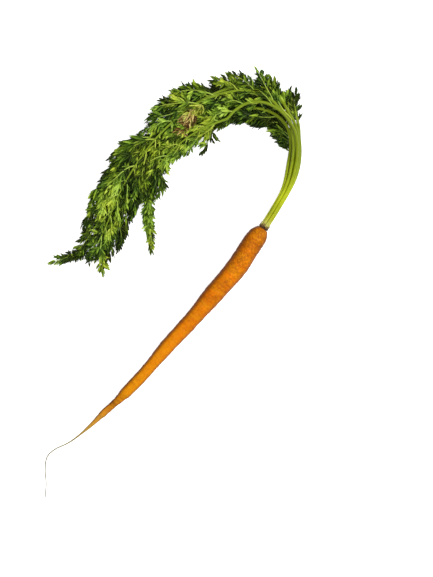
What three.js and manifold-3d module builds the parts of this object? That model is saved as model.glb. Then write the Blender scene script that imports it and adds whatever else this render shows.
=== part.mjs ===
// A slim young carrot, pulled and laid on its side: one tapering root that runs out into a hair,
// the dark crown on top of it, and eight leaves whose stalks curve over into a feathery heap.
// Millimetres, +Z up. Everything is laid out from the middle of the crown's top face, and the
// whole group is then moved so that its origin is the middle of its box, on the surface.

import * as THREE from "three";
import { mergeVertices } from "three/addons/utils/BufferGeometryUtils.js";
import Module from "manifold-3d";

const wasm = await Module();
wasm.setup();

// ---- Driving dimensions ------------------------------------------------------------------

const ROOT_AXIS_HEIGHT = 8.75; // the fat end's centre line above the surface
const CROWN_LENGTH = 4; // from the root's dimple to the face that the stalks grow from
const CROWN_RADIUS = 3.75;
const CROWN_SIDES = 16;
const STUB_COUNT = 7; // stubs of old leaf bases round the crown's rim
const CONTACT_GAP = 0.3; // between nodes that meet face to face

// The root's centre line in plan, from the crown's face to the end of its hair.
const ROOT_LINE = [
  [0, 0], [-5.9, -8.5], [-11.7, -16.8], [-23, -33.7], [-42.7, -57.2], [-62.8, -80.2],
  [-83.4, -102.9], [-103.4, -126], [-120.9, -144.3], [-136.1, -158], [-150.9, -172],
  [-165.8, -183.6], [-179.4, -190.4], [-185.2, -196.2], [-187, -206], [-186.2, -219.3],
  [-187, -231.2],
];
// The root's radius at distances along that line.
const ROOT_RADIUS = [
  [2, 4.9], [4, 6.2], [6.5, 7.4], [9, 8.2], [14, 8.85], [26, 9.05], [50, 8.85], [76, 8.2], [90, 7.4],
  [102, 6.85], [128, 6.5], [148, 5.5], [173, 5.1], [184, 4.85], [192, 3.75], [199, 3.15],
  [209, 2.95], [219, 2.1], [230, 1.3], [240, 0.75], [262, 0.5], [300, 0.42], [340, 0.36],
];
const FATTEST = 9.05;
const FAT_END = 26; // the centre line is level up to here
const DIMPLE_DEPTH = 1.2; // the crown sits in a shallow dimple in the root's top
const ROOT_SIDES = 14;
const ROOT_RINGS = 56;
const HAIR_START = 222; // where the stout root ends and the hair is drawn with few sides
const STOUT_END = 238;
const HAIR_SIDES = 5;
const HAIR_RINGS = 20;
const HAIR_THICKEST = 0.9;
const CREASE_COUNT = 15; // shallow creases that run part of the way round
const FIRST_CREASE = 12;
const CREASE_SPACING = 12.6;
const CREASE_DEPTH = 0.45;
const CREASE_HALF_WIDTH = 2.6;

// The line that the heap of leaves follows in plan: up from the crown, over and down to the left.
const HEAP_LINE = [
  [0, 0], [10.7, 17.2], [20.6, 35.5], [25.9, 55.6], [26.6, 72], [23, 87], [13, 99], [-1.5, 106],
  [-23, 107], [-46, 101], [-68, 90], [-88.5, 73], [-107, 50], [-122, 25], [-133, 1], [-143, -15],
  [-157, -23], [-172, -25], [-196, -27],
];

// Each leaf, from the lowest in the heap to the highest. ring is the stalk's place on the crown,
// beside and above its middle; reach is how far along the heap line it runs; bare is where its
// first leaflets are; slim is how much shorter its last side branches are than its first; aside
// gives how far it lies beside the heap line, outwards positive.
const LEAVES = [
  {
    ring: [0, -2.65], reach: 356, bare: 102, slim: 0.72,
    aside: [[60, 0], [120, 0], [200, 0], [290, 2], [330, 2], [356, 0]],
  },
  {
    ring: [-2.06, -1.67], reach: 324, bare: 82, slim: 0.4,
    aside: [[60, -3], [80, -3], [130, -8], [230, -8], [295, -5], [324, -10]],
  },
  {
    ring: [2.06, -1.67], reach: 114, bare: 95, slim: 0.45,
    aside: [[60, 4.4], [80, 4], [92, 6], [100, 9], [107, 13], [114, 18]],
  },
  {
    ring: [0, 0], reach: 298, bare: 110, slim: 0.85,
    aside: [[60, -0.6], [80, -0.5], [125, 3], [190, 1], [228, -7], [264, -20], [298, -34]],
  },
  {
    ring: [-2.59, 0.55], reach: 310, bare: 106, slim: 0.4,
    aside: [[60, -5], [80, -4], [125, -6], [180, -9], [270, -8], [310, -8]],
  },
  {
    ring: [2.59, 0.55], reach: 324, bare: 120, slim: 0.4,
    aside: [[60, 3], [80, 2.6], [100, 3], [112, 7], [124, 11], [140, 12], [190, 8], [270, 9], [324, 9]],
  },
  {
    ring: [-1.2, 2.36], reach: 326, bare: 132, slim: 0.4,
    aside: [[60, -2], [80, -2], [108, 0], [122, 4], [142, 8], [170, 8], [215, 4], [290, 2], [326, 0]],
  },
  {
    ring: [1.2, 2.36], reach: 246, bare: 140, slim: 0.5,
    aside: [[60, 1.4], [80, 1], [100, -1], [120, -1], [134, -2], [150, -8], [162, -14], [246, -13]],
  },
];
const STALK_RADIUS = 1; // at the crown
const STALK_RADIUS_AT_LEAFLETS = 1.4;
const STALK_RADIUS_AT_TIP = 0.5;
const STALK_SIDES = 5;
const STALK_STEP = 12;

// A side branch of a leaf is one thin blade whose outline is cut to the rib into leaflets.
const BRANCH_SPACING = 38;
const BRANCH_LENGTH = 50;
const BRANCH_ANGLE_AT_BASE = 44; // degrees from the stalk
const BRANCH_ANGLE_AT_TIP = 4;
const BRANCH_LEAFLETS = 4; // pairs, with one more at the tip
const BRANCH_FOOT = 0.6; // the rib's bare foot, against the distance between leaflets
const SHORTEST_END = 18; // the blade that ends a leaf is at least this long
const END_OVERLAP = 8; // its rib runs this far along the stalk
const LEAFLET_LENGTH = 15;
const LEAFLET_ANGLE = 44;
const BLADE_THICKNESS = 0.6;
const RIB_HALF_WIDTH = 0.8;
// How long the side branches are along the heap, against the leaf's own. The stalks lie close
// together on the outside of the bend: no side branch grows there before the first distance.
const OUTSIDE_FROM = 110;
const OUTSIDE_SHARE = [
  [110, 0.42], [140, 0.5], [180, 0.72], [215, 0.62], [250, 0.74], [290, 0.92], [320, 0.6],
];
const INSIDE_SHARE = [[100, 1], [130, 0.8], [150, 0.66], [200, 0.66], [235, 0.8], [280, 0.85], [310, 0.75]];
const SHORT_LEAF = 60; // a leaf with less than this in leaflets has branches all along
const FULL_LEAF = 160; // and one with more has branches of the full length

// How the leaves lie on each other: each takes up a layer of the heap, thicker over its stalk.
const LAYER = 2.0;
const LAYER_CLEARANCE = 0.4;
const LAYER_SPREAD = 19; // a leaf's half width
const LAYER_FADE = 22; // the layer thins to nothing over this distance past the leaf's edge
const STALK_BUMP_WIDTH = 8;
const BARE_BUMP_WIDTH = 3.4;
const SETTLE_FROM = 42; // the stalks lie side by side up to here
const SETTLE_TO = 88; // and on each other from here

// ---- Small tools -------------------------------------------------------------------------

const radians = THREE.MathUtils.degToRad;
const clamp = THREE.MathUtils.clamp;
const smooth = (x, from, to) => THREE.MathUtils.smoothstep(x, from, to);

// Seeded random numbers from 0 to 1, the same on every run.
function randomFrom(seed) {
  let state = seed;
  return () => {
    state = (state * 1664525 + 1013904223) % 4294967296;
    return state / 4294967296;
  };
}

// A smooth curve through pairs [distance, value], flat beyond the first and the last.
function valueAt(table, x) {
  const last = table.length - 1;
  if (x <= table[0][0]) return table[0][1];
  if (x >= table[last][0]) return table[last][1];
  let i = 0;
  while (table[i + 1][0] < x) i++;
  const slope = (a, b) => (table[b][1] - table[a][1]) / (table[b][0] - table[a][0]);
  const width = table[i + 1][0] - table[i][0];
  const here = slope(i, i + 1);
  // A slope that has a bump on either side is taken as level, so the curve never overshoots.
  const joint = (a, b) => (a * b <= 0 ? 0 : (2 * a * b) / (a + b));
  const m0 = i === 0 ? here : joint(slope(i - 1, i), here);
  const m1 = i === last - 1 ? here : joint(here, slope(i + 1, i + 2));
  const t = (x - table[i][0]) / width;
  const rest = 1 - t;
  return (
    table[i][1] * (1 + 2 * t) * rest * rest +
    width * m0 * t * rest * rest +
    table[i + 1][1] * t * t * (3 - 2 * t) -
    width * m1 * t * t * rest
  );
}

// A curve in plan that is asked for points by distance along it.
class PlanLine {
  constructor(points) {
    const curve = new THREE.CatmullRomCurve3(
      points.map(([x, y]) => new THREE.Vector3(x, y, 0)),
      false,
      "centripetal",
    );
    curve.arcLengthDivisions = 2000;
    this.curve = curve;
    this.length = curve.getLength();
  }
  at(distance) {
    const u = clamp(distance / this.length, 0, 1);
    const point = this.curve.getPointAt(u);
    const along = this.curve.getTangentAt(u).normalize();
    const right = new THREE.Vector3(along.y, -along.x, 0);
    return { point, along, right };
  }
}

// A closed skin over rings of points that all have the same count, with a flat cap at each end.
function loft(rings) {
  const sides = rings[0].length;
  const positions = [];
  for (const ring of rings) for (const p of ring) positions.push(p.x, p.y, p.z);
  const index = [];
  for (let i = 0; i + 1 < rings.length; i++) {
    for (let j = 0; j < sides; j++) {
      const a = i * sides + j;
      const b = i * sides + ((j + 1) % sides);
      index.push(a, b, b + sides, a, b + sides, a + sides);
    }
  }
  const end = (rings.length - 1) * sides;
  for (let j = 1; j + 1 < sides; j++) {
    index.push(0, j + 1, j);
    index.push(end, end + j, end + j + 1);
  }
  const geometry = new THREE.BufferGeometry();
  geometry.setAttribute("position", new THREE.Float32BufferAttribute(positions, 3));
  geometry.setIndex(index);
  return geometry;
}

// A ring of points about a place on a line. The first end of a loft is its start.
function ringAt(centre, right, radius, sides, radiusFactor = () => 1) {
  const up = new THREE.Vector3(0, 0, 1);
  const ring = [];
  for (let j = 0; j < sides; j++) {
    const turn = (j / sides) * Math.PI * 2;
    const r = radius * radiusFactor(turn);
    ring.push(
      centre
        .clone()
        .addScaledVector(right, Math.cos(turn) * r)
        .addScaledVector(up, Math.sin(turn) * r),
    );
  }
  return ring;
}

function solidOf(geometry) {
  const plain = geometry.clone();
  for (const name of ["normal", "uv"]) plain.deleteAttribute(name);
  const merged = mergeVertices(plain, 1e-4);
  const make = (triVerts) =>
    new wasm.Manifold(
      new wasm.Mesh({
        numProp: 3,
        vertProperties: new Float32Array(merged.attributes.position.array),
        triVerts,
      }),
    );
  const faces = new Uint32Array(merged.index.array);
  const solid = make(faces);
  if (solid.volume() > 0) return solid;
  for (let i = 0; i < faces.length; i += 3) {
    [faces[i + 1], faces[i + 2]] = [faces[i + 2], faces[i + 1]];
  }
  return make(faces);
}

function fuse(solids) {
  return solids.reduce((whole, solid) => whole.add(solid));
}

function meshOf(name, solid, material) {
  const { numProp, vertProperties, triVerts } = solid.getMesh();
  const positions = new Float32Array((vertProperties.length / numProp) * 3);
  for (let i = 0; i * 3 < positions.length; i++) {
    positions.set(vertProperties.subarray(i * numProp, i * numProp + 3), i * 3);
  }
  const geometry = new THREE.BufferGeometry();
  geometry.setAttribute("position", new THREE.BufferAttribute(positions, 3));
  geometry.setIndex(new THREE.BufferAttribute(new Uint32Array(triVerts), 1));
  geometry.computeVertexNormals();
  const mesh = new THREE.Mesh(geometry, material);
  mesh.name = name;
  return mesh;
}

// ---- Root ----------------------------------------------------------------------------------

const rootLine = new PlanLine(ROOT_LINE);
const heapLine = new PlanLine(HEAP_LINE);

// The centre line lies level under the fat end, then comes down as the root thins.
function rootHeight(distance) {
  const radius = valueAt(ROOT_RADIUS, distance);
  return distance < FAT_END ? ROOT_AXIS_HEIGHT : radius * (ROOT_AXIS_HEIGHT / FATTEST);
}

// Shallow creases, each a shallow groove over part of the way round.
function creases() {
  const random = randomFrom(11);
  const found = [];
  for (let i = 0; i < CREASE_COUNT; i++) {
    found.push({
      distance: FIRST_CREASE + (i + 0.2 + 0.6 * random()) * CREASE_SPACING,
      turn: random() * Math.PI * 2,
      spread: 0.9 + 0.7 * random(),
    });
  }
  return found;
}
const CREASES = creases();

function rootSkin(distance, turn) {
  const radius = valueAt(ROOT_RADIUS, distance);
  let r = 1 + 0.018 * Math.sin(distance * 0.11 + turn) + 0.015 * Math.sin(distance * 0.19 - 2 * turn);
  for (const crease of CREASES) {
    const off = (distance - crease.distance) / CREASE_HALF_WIDTH;
    if (Math.abs(off) > 2.5) continue;
    const round = Math.cos(turn - crease.turn) - Math.cos(crease.spread);
    const depth = (CREASE_DEPTH / radius) * Math.exp(-off * off) * Math.min(1, radius / 7);
    if (round > 0) r -= depth * Math.min(1, round * 3);
  }
  return r;
}

function root(material) {
  const up = new THREE.Vector3(0, 0, 1);
  const rings = [];
  const place = (distance, radius, factor) => {
    const { point, right } = rootLine.at(distance);
    point.z = rootHeight(distance);
    const ring = ringAt(point, right, radius, ROOT_SIDES, factor);
    // The underside is flat where it rests.
    for (const p of ring) p.z = Math.max(p.z, 0);
    return ring;
  };
  const top = ROOT_RADIUS[0][0];
  rings.push(place(top + DIMPLE_DEPTH, CROWN_RADIUS - 0.3, () => 1));
  for (let i = 0; i <= ROOT_RINGS; i++) {
    const share = i / ROOT_RINGS;
    // Rings are closer together at the shoulder.
    const distance = top + (STOUT_END - top) * (0.55 * share + 0.45 * share * share);
    rings.push(place(distance, valueAt(ROOT_RADIUS, distance), (turn) => rootSkin(distance, turn)));
  }
  const hair = [];
  for (let i = 0; i <= HAIR_RINGS; i++) {
    const distance = HAIR_START + (rootLine.length - HAIR_START) * (i / HAIR_RINGS);
    const { point, right } = rootLine.at(distance);
    const radius = Math.min(valueAt(ROOT_RADIUS, distance), HAIR_THICKEST);
    point.z = Math.max(rootHeight(distance), radius);
    hair.push(ringAt(point, right, radius, HAIR_SIDES));
  }
  return meshOf("root", fuse([solidOf(loft(rings)), solidOf(loft(hair))]), material);
}

// ---- Crown -----------------------------------------------------------------------------------

// A short dark barrel with the stubs of old leaf bases standing round its rim. It bends from the
// root's direction to the stalks' own.
function crown(material) {
  const { point, along } = rootLine.at(0);
  const fromRoot = along.clone().negate();
  const toLeaves = heapLine.at(0).along;
  const place = (height, radius) => {
    const bend = smooth(height, -CROWN_LENGTH, 0);
    const direction = fromRoot.clone().lerp(toLeaves, bend).normalize();
    const centre = point.clone().addScaledVector(direction, height);
    centre.z = ROOT_AXIS_HEIGHT;
    const right = new THREE.Vector3(direction.y, -direction.x, 0);
    return ringAt(centre, right, radius, CROWN_SIDES);
  };
  const foot = -(ROOT_RADIUS[0][0] + DIMPLE_DEPTH) + CONTACT_GAP;
  const barrel = loft([
    place(foot, CROWN_RADIUS - 0.9),
    place(foot + 1.2, CROWN_RADIUS - 0.3),
    place(-CROWN_LENGTH * 0.35, CROWN_RADIUS),
    place(-0.2, CROWN_RADIUS + 0.45),
    place(0, CROWN_RADIUS + 0.3),
  ]);
  const stubs = [];
  const random = randomFrom(5);
  const right = new THREE.Vector3(toLeaves.y, -toLeaves.x, 0);
  for (let i = 0; i < STUB_COUNT; i++) {
    const turn = ((i + 0.5 * random()) / STUB_COUNT) * Math.PI * 2;
    const out = right
      .clone()
      .multiplyScalar(Math.cos(turn))
      .add(new THREE.Vector3(0, 0, Math.sin(turn)));
    const side = new THREE.Vector3().crossVectors(toLeaves, out);
    const height = 2.4 + 2.2 * random();
    const corner = (up, off, wide) => {
      const p = point.clone();
      p.z = ROOT_AXIS_HEIGHT;
      return p
        .addScaledVector(toLeaves, up)
        .addScaledVector(out, off)
        .addScaledVector(side, wide);
    };
    const inner = CROWN_RADIUS + 0.42;
    const layer = (up, off, wide, thick) => [
      corner(up, off, -wide),
      corner(up, off, wide),
      corner(up, off + thick, 0),
    ];
    stubs.push(
      loft([
        layer(-1, inner - 0.9, 1.2, 0.7),
        layer(0.2, inner, 1.1, 0.8),
        layer(height, inner + 0.4, 0.3, 0.4),
      ]),
    );
  }
  return meshOf("crown", fuse([barrel, ...stubs].map(solidOf)), material);
}

// ---- Leaves ------------------------------------------------------------------------------------

function stalkRadius(leaf, distance) {
  const { bare, reach } = leaf;
  if (distance < bare) {
    return THREE.MathUtils.lerp(STALK_RADIUS, STALK_RADIUS_AT_LEAFLETS, distance / bare);
  }
  const share = (distance - bare) / (reach - bare);
  return THREE.MathUtils.lerp(STALK_RADIUS_AT_LEAFLETS, STALK_RADIUS_AT_TIP, share);
}

// A leaf's stalk in plan, at a distance along the heap line.
function stalkInPlan(leaf, distance) {
  const { point, right } = heapLine.at(distance);
  const aside = valueAt([[0, leaf.ring[0]], [24, leaf.ring[0]], ...leaf.aside], distance);
  return point.addScaledVector(right, aside);
}

// The stalk's course as points to measure distances from.
for (const leaf of LEAVES) {
  leaf.course = [];
  for (let distance = 0; distance < leaf.reach + 3; distance += 3) {
    const at = Math.min(distance, leaf.reach);
    const point = stalkInPlan(leaf, at);
    leaf.course.push({ at, x: point.x, y: point.y });
  }
}

// How thick the layer is that a leaf takes up, over a place in plan.
function layerThickness(leaf, x, y) {
  let nearest = Infinity;
  let at = 0;
  const { course } = leaf;
  for (let i = 0; i + 1 < course.length; i++) {
    const a = course[i];
    const b = course[i + 1];
    const dx = b.x - a.x;
    const dy = b.y - a.y;
    const t = clamp(((x - a.x) * dx + (y - a.y) * dy) / (dx * dx + dy * dy), 0, 1);
    const gap = Math.hypot(x - a.x - t * dx, y - a.y - t * dy);
    if (gap < nearest) {
      nearest = gap;
      at = a.at + t * (b.at - a.at);
    }
  }
  const leafy = smooth(at, leaf.bare - 30, leaf.bare);
  const spread = 1 - smooth(nearest, LAYER_SPREAD, LAYER_SPREAD + LAYER_FADE);
  const overStalk = Math.max(0, 2 * stalkRadius(leaf, at) + LAYER_CLEARANCE - LAYER * leafy);
  const width = THREE.MathUtils.lerp(BARE_BUMP_WIDTH, STALK_BUMP_WIDTH, leafy);
  return LAYER * spread * leafy + overStalk * Math.exp(-((nearest / width) ** 2));
}

// The height of the underside of a leaf's layer: what the leaves below it take up.
function layerFloor(index, x, y) {
  let height = 0;
  for (let i = 0; i < index; i++) height += layerThickness(LEAVES[i], x, y);
  return height;
}

function stalkHeight(index, distance, x, y) {
  const leaf = LEAVES[index];
  const onCrown = ROOT_AXIS_HEIGHT + leaf.ring[1];
  const resting = layerFloor(index, x, y) + layerThickness(leaf, x, y) / 2;
  return THREE.MathUtils.lerp(onCrown, resting, smooth(distance, SETTLE_FROM, SETTLE_TO));
}

function stalk(index) {
  const leaf = LEAVES[index];
  const steps = Math.round(leaf.reach / STALK_STEP);
  const rings = [];
  for (let i = 0; i <= steps; i++) {
    const distance = CONTACT_GAP + (leaf.reach - CONTACT_GAP) * (i / steps);
    const centre = stalkInPlan(leaf, distance);
    centre.z = stalkHeight(index, distance, centre.x, centre.y);
    const ahead = stalkInPlan(leaf, Math.min(distance + 1, leaf.reach + 1));
    const behind = stalkInPlan(leaf, Math.max(distance - 1, 0));
    const along = ahead.sub(behind).setZ(0).normalize();
    const right = new THREE.Vector3(along.y, -along.x, 0);
    rings.push(ringAt(centre, right, stalkRadius(leaf, distance), STALK_SIDES));
  }
  return solidOf(loft(rings));
}

// One side branch: a rib with leaflets on both sides, laid in the leaf's own layer. side is 1 on
// the outside of the bend, -1 on the inside, and 0 for the blade that ends the leaf.
function branch(index, distance, side, length) {
  const leaf = LEAVES[index];
  const pairs = length > BRANCH_LENGTH * 0.55 ? BRANCH_LEAFLETS : BRANCH_LEAFLETS - 1;
  const start = stalkInPlan(leaf, distance);
  const behind = stalkInPlan(leaf, distance - 2);
  const heading = Math.atan2(start.y - behind.y, start.x - behind.x);

  // The rib's points in plan, bending forwards to the stalk's own direction.
  const rib = [];
  const step = length / (pairs + 1 + BRANCH_FOOT);
  let { x, y } = start;
  for (let i = 0; i <= pairs + 1; i++) {
    const share = i / (pairs + 1);
    const away = THREE.MathUtils.lerp(BRANCH_ANGLE_AT_BASE, BRANCH_ANGLE_AT_TIP, share);
    const angle = heading - side * radians(away);
    rib.push({ x, y, angle, share });
    x += Math.cos(angle) * step * (i === 0 ? BRANCH_FOOT : 1);
    y += Math.sin(angle) * step * (i === 0 ? BRANCH_FOOT : 1);
  }

  // Points in plan, each with its distance across the blade, and the blade's triangles.
  const plan = [];
  const faces = [];
  const put = (px, py, across) => plan.push({ x: px, y: py, across }) - 1;
  const edges = rib.map((place) => {
    const half = RIB_HALF_WIDTH * (1 - 0.5 * place.share);
    const nx = -Math.sin(place.angle) * half;
    const ny = Math.cos(place.angle) * half;
    return {
      left: put(place.x + nx, place.y + ny, half),
      right: put(place.x - nx, place.y - ny, -half),
    };
  });
  const outline = { left: [edges[0].left], right: [edges[0].right] };
  for (let i = 0; i <= pairs; i++) {
    faces.push([edges[i].left, edges[i].right, edges[i + 1].right]);
    faces.push([edges[i].left, edges[i + 1].right, edges[i + 1].left]);
    if (i === 0) {
      outline.left.push(edges[1].left);
      outline.right.push(edges[1].right);
      continue;
    }
    const { x: rx, y: ry, angle, share } = rib[i];
    const reach = LEAFLET_LENGTH * (length / BRANCH_LENGTH) * (1.1 - 0.65 * share);
    for (const hand of ["left", "right"]) {
      const sign = hand === "left" ? 1 : -1;
      const point = (distanceOut, degrees, alongRib) => {
        const out = angle + sign * radians(degrees);
        return put(
          rx + Math.cos(angle) * step * alongRib + Math.cos(out) * distanceOut,
          ry + Math.sin(angle) * step * alongRib + Math.sin(out) * distanceOut,
          sign * Math.sin(radians(degrees)) * distanceOut,
        );
      };
      const from = edges[i][hand];
      const to = edges[i + 1][hand];
      const tip = point(reach, LEAFLET_ANGLE, 0.45);
      const parts = [[from, to, tip]];
      // The larger leaflets have a back shoulder too.
      if (i < pairs) {
        const shoulder = point(reach * 0.58, LEAFLET_ANGLE + 9, 0.08);
        parts.push([from, tip, shoulder]);
        outline[hand].push(shoulder);
      }
      for (const [a, b, c] of parts) faces.push(sign > 0 ? [a, b, c] : [a, c, b]);
      outline[hand].push(tip, to);
    }
  }
  // The leaflet at the tip.
  const last = rib[pairs + 1];
  const ahead = (alongRib, across) =>
    put(
      last.x + Math.cos(last.angle) * step * alongRib - Math.sin(last.angle) * across,
      last.y + Math.sin(last.angle) * step * alongRib + Math.cos(last.angle) * across,
      across,
    );
  const end = ahead(1.1, 0);
  const flankLeft = ahead(0.4, 0.28 * step);
  const flankRight = ahead(0.4, -0.28 * step);
  const edge = edges[pairs + 1];
  faces.push([edge.left, edge.right, flankRight]);
  faces.push([edge.left, flankRight, flankLeft]);
  faces.push([flankLeft, flankRight, end]);
  outline.left.push(flankLeft);
  outline.right.push(flankRight);

  // Both faces of the blade use the same triangles, and a wall follows the outline.
  const positions = [];
  for (const lift of [0, BLADE_THICKNESS]) {
    for (const place of plan) {
      const floor = layerFloor(index, place.x, place.y);
      const thickness = Math.max(layerThickness(leaf, place.x, place.y), LAYER * 0.6);
      // The front edge of each blade stands above the back edge of the next one.
      const room = Math.max(0, (thickness - BLADE_THICKNESS - LAYER_CLEARANCE) / 2);
      const tilt = -side * room * clamp(place.across / (LEAFLET_LENGTH * 0.6), -1, 1);
      positions.push(place.x, place.y, floor + (thickness - BLADE_THICKNESS) / 2 + tilt + lift);
    }
  }
  const triangles = [];
  const over = plan.length;
  for (const [a, b, c] of faces) triangles.push(a + over, b + over, c + over, a, c, b);
  const round = [...outline.right, end, ...outline.left.reverse()];
  for (let i = 0; i < round.length; i++) {
    const a = round[i];
    const b = round[(i + 1) % round.length];
    triangles.push(a, b, b + over, a, b + over, a + over);
  }
  const geometry = new THREE.BufferGeometry();
  geometry.setAttribute("position", new THREE.Float32BufferAttribute(positions, 3));
  geometry.setIndex(triangles);
  return solidOf(geometry);
}

function leaf(index, material) {
  const { bare, reach, slim } = LEAVES[index];
  const leafy = reach - bare;
  const random = randomFrom(101 + index);
  const pieces = [stalk(index)];
  const pairs = Math.max(2, Math.round(leafy / BRANCH_SPACING));
  const full = BRANCH_LENGTH * Math.min(1, leafy / FULL_LEAF + 0.25);
  for (let i = 0; i < pairs; i++) {
    const share = i / pairs;
    const length = full * (0.85 + 0.15 * Math.min(1, share * 4)) * (1 - slim * share * share);
    for (const side of [1, -1]) {
      const jitter = random() - 0.5;
      const distance = bare + leafy * share + 6 * jitter;
      if (side > 0 && distance < OUTSIDE_FROM && leafy > SHORT_LEAF) continue;
      const room = valueAt(side > 0 ? OUTSIDE_SHARE : INSIDE_SHARE, distance);
      pieces.push(branch(index, distance, side, length * room * (1 + 0.2 * jitter)));
    }
  }
  pieces.push(branch(index, reach - END_OVERLAP, 0, Math.max(full * 0.5, SHORTEST_END)));
  return meshOf(`leaf_${index + 1}`, fuse(pieces), material);
}

// ---- The carrot --------------------------------------------------------------------------------

const skin = new THREE.MeshStandardMaterial({ color: 0xd9761a, roughness: 0.6, metalness: 0 });
const bark = new THREE.MeshStandardMaterial({ color: 0x3a2a10, roughness: 0.85, metalness: 0 });
const green = new THREE.MeshStandardMaterial({ color: 0x5f8f1e, roughness: 0.6, metalness: 0 });

const carrot = new THREE.Group();
carrot.add(root(skin), crown(bark));
for (let i = 0; i < LEAVES.length; i++) carrot.add(leaf(i, green));

// The origin is the middle of the box in plan, on the surface.
const box = new THREE.Box3().setFromObject(carrot);
const middle = box.getCenter(new THREE.Vector3());
carrot.position.set(-middle.x, -middle.y, -box.min.z);

export default carrot;
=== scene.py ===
import math
import bpy
import numpy as np
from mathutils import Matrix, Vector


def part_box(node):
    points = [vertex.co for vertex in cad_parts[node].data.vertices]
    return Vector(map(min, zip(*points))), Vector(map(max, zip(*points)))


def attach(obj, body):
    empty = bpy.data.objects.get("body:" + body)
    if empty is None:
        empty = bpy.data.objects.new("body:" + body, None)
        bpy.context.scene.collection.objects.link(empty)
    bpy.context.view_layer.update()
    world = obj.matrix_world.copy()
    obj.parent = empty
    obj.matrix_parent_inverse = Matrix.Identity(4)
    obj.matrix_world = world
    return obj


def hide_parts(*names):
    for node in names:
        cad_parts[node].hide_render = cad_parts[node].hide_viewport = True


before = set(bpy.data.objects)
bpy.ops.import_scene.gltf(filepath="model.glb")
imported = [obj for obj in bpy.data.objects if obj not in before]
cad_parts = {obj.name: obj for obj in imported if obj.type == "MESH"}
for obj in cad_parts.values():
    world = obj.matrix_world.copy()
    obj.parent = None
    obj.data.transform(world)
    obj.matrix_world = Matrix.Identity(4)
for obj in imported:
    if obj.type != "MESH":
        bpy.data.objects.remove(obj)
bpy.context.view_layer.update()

MM = 0.001  # the lengths below are in millimetres, from the middle of the crown's top face

# ---- Root ------------------------------------------------------------------------------------
# One slim tap root, grown in one piece: orange flesh under a thin skin that wrinkles across as
# it dries. It is pinched dark near its end and runs out from there into a long pale hair.

ROOT_AXIS_HEIGHT = 8.75
THICKEST = (26, 9.05)  # how far down the root is thickest, and its radius there
ROOT_LINE = [
    (0, 0), (-5.9, -8.5), (-11.7, -16.8), (-23, -33.7), (-42.7, -57.2), (-62.8, -80.2),
    (-83.4, -102.9), (-103.4, -126), (-120.9, -144.3), (-136.1, -158), (-150.9, -172),
    (-165.8, -183.6), (-179.4, -190.4), (-185.2, -196.2), (-187, -206), (-186.2, -219.3),
    (-187, -231.2),
]
ROOT_RADIUS = [
    (2, 4.9), (4, 6.2), (6.5, 7.4), (9, 8.2), (14, 8.85), (26, 9.05), (50, 8.85), (76, 8.2),
    (90, 7.4), (102, 6.85), (128, 6.5), (148, 5.5), (173, 5.1), (184, 4.85), (192, 3.75),
    (199, 3.15), (209, 2.95), (219, 2.1), (230, 1.3), (240, 0.72), (262, 0.5), (285, 0.44),
    (340, 0.33),
]
ROOT_TOP = 2
DIMPLE = (3.2, 3.45)  # the shallow dimple under the crown: how far down, and its radius
STOUT_END = 238
CAD_RINGS = 56
CAD_SIDES = 14
FIRST_CREASE = 12
CREASE_SPACING = 12.6
CREASE_COUNT = 15
CREASE_DEPTH = 0.45
CREASE_HALF_WIDTH = 2.6
CREASE_END = 3  # how abruptly a crease ends, going round
FULL_CREASE_RADIUS = 7  # creases are shallower where the root is thinner than this
SWELLINGS = [(0.018, 0.11, 1), (0.015, 0.19, -2)]  # height, closeness, and turns round the root


def smooth_curve(pairs, x):
    """Values on a smooth curve through (distance, value) pairs, flat beyond its ends."""
    at, value = np.array(pairs, float).T
    x = np.clip(x, at[0], at[-1])
    i = np.clip(np.searchsorted(at, x) - 1, 0, len(at) - 2)
    width = np.diff(at)
    slope = np.diff(value) / width
    before, after = slope[:-1], slope[1:]
    total = np.where(before * after > 0, before + after, 1)
    inner = np.where(before * after > 0, 2 * before * after / total, 0)
    lean = np.concatenate([slope[:1], inner, slope[-1:]])
    t = (x - at[i]) / width[i]
    rest = 1 - t
    start = value[i] * (1 + 2 * t) + width[i] * lean[i] * t
    end = value[i + 1] * (1 + 2 * rest) - width[i] * lean[i + 1] * rest
    return start * rest * rest + end * t * t


def smoothstep(x, low, high):
    t = np.clip((x - low) / (high - low), 0, 1)
    return t * t * (3 - 2 * t)


class PlanLine:
    """A curve through points in plan, asked for its places by distance along it."""

    def __init__(self, points, parts=120):
        p = np.array(points, float)
        p = np.vstack([2 * p[0] - p[1], p, 2 * p[-1] - p[-2]])
        gap = np.sqrt(np.linalg.norm(np.diff(p, axis=0), axis=1))
        t = np.linspace(0, 1, parts, endpoint=False)[:, None]
        legs = []
        for k in range(len(p) - 3):
            a, b, c, d = p[k : k + 4]
            g0, g1, g2 = gap[k : k + 3]
            leave = g1 * ((b - a) / g0 - (c - a) / (g0 + g1) + (c - b) / g1)
            arrive = g1 * ((c - b) / g1 - (d - b) / (g1 + g2) + (d - c) / g2)
            square = 3 * (c - b) - 2 * leave - arrive
            cube = 2 * (b - c) + leave + arrive
            legs.append(b + leave * t + square * t**2 + cube * t**3)
        self.points = np.vstack([*legs, p[-2:-1]])
        step = np.linalg.norm(np.diff(self.points, axis=0), axis=1)
        self.run = np.concatenate([[0], np.cumsum(step)])
        self.length = self.run[-1]
        self.along = np.gradient(self.points, self.run, axis=0)

    def at(self, distance):
        """The point there, the direction onwards and the direction to the right of it."""
        d = np.clip(distance, 0, self.length)
        x, y = (np.interp(d, self.run, self.points[:, k]) for k in (0, 1))
        ax, ay = (np.interp(d, self.run, self.along[:, k]) for k in (0, 1))
        size = np.hypot(ax, ay)
        point, along = np.stack([x, y], -1), np.stack([ax, ay], -1) / size[..., None]
        return point, along, np.stack([along[..., 1], -along[..., 0]], -1)


def seeded(state):
    """Random numbers from 0 to 1, the same on every run."""
    while True:
        state = (state * 1664525 + 1013904223) % 4294967296
        yield state / 4294967296


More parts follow.
